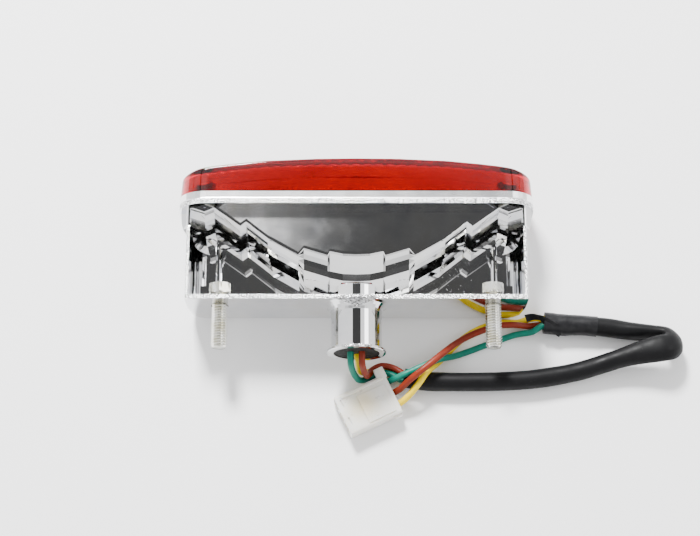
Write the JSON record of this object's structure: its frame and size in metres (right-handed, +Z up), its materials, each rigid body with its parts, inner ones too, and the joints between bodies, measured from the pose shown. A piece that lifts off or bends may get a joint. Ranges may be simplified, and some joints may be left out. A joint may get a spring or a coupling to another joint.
{
  "type": "motorcycle tail light",
  "caption": "Slim rectangular motorcycle tail light: plated open-backed housing, red lens, bayonet bulb, two rear mounting bolts and a sleeved lead with plug.",
  "frame": {"origin": "centre of the bottom of the light itself, measured without its lead", "axes": "+X along the long side, +Y out through the lens, -Y out of the back where the bolts stand, +Z up from the surface that it lies on"},
  "size_m": [0.1863, 0.0986, 0.0323],
  "materials": {
    "chrome_plastic": "bright chrome plating on moulded plastic",
    "red_lens": "deep red transparent acrylic",
    "gasket_rubber": "matt black",
    "zinc_steel": "bright zinc plated steel",
    "bulb_glass": "clear",
    "brass": "plain",
    "tungsten": "dark wire and glass stem",
    "solder": "dull tin",
    "phenolic": "brown laminate",
    "wire_green": "soft insulation",
    "wire_brown": "soft insulation",
    "wire_yellow": "soft insulation",
    "sleeve_black": "soft black sleeving",
    "tape_black": "black vinyl tape",
    "nylon_white": "translucent natural nylon"
  },
  "bodies": {
    "light": {"housing": "chrome_plastic", "lens": "red_lens", "lens_gasket": "gasket_rubber", "lens_screw_left": "zinc_steel", "lens_screw_right": "zinc_steel", "mounting_bolt_left": "zinc_steel", "mounting_bolt_right": "zinc_steel", "socket_shell": "zinc_steel", "socket_grommet": "gasket_rubber", "socket_spring": "zinc_steel", "wire_green": "wire_green", "wire_brown": "wire_brown", "wire_yellow": "wire_yellow", "sleeve": "sleeve_black", "tape_wrap": "tape_black", "connector_housing": "nylon_white", "terminal_green": "brass", "terminal_brown": "brass", "terminal_yellow": "brass"},
    "contact_carrier": {"contact_disc": "phenolic", "contact_pin_tail": "brass", "contact_pin_stop": "brass"},
    "bulb": {"bulb_base": "brass", "bulb_glass": "bulb_glass", "bulb_filament": "tungsten", "bulb_contact_tail": "solder", "bulb_contact_stop": "solder"}
  },
  "joints": [
    {"name": "bulb_push", "type": "slide", "parent": "light", "child": "contact_carrier", "axis": [0, -1, 0], "range_m": [0, 0.0022], "stiffness_N_per_m": 1500, "springref_m": -0.004, "deforming": ["socket_spring"]},
    {"name": "bulb_turn", "type": "hinge", "parent": "contact_carrier", "child": "bulb", "pos_m": [0, -0.019, 0.0184], "axis": [0, 1, 0], "range_deg": [0, 15]}
  ]
}
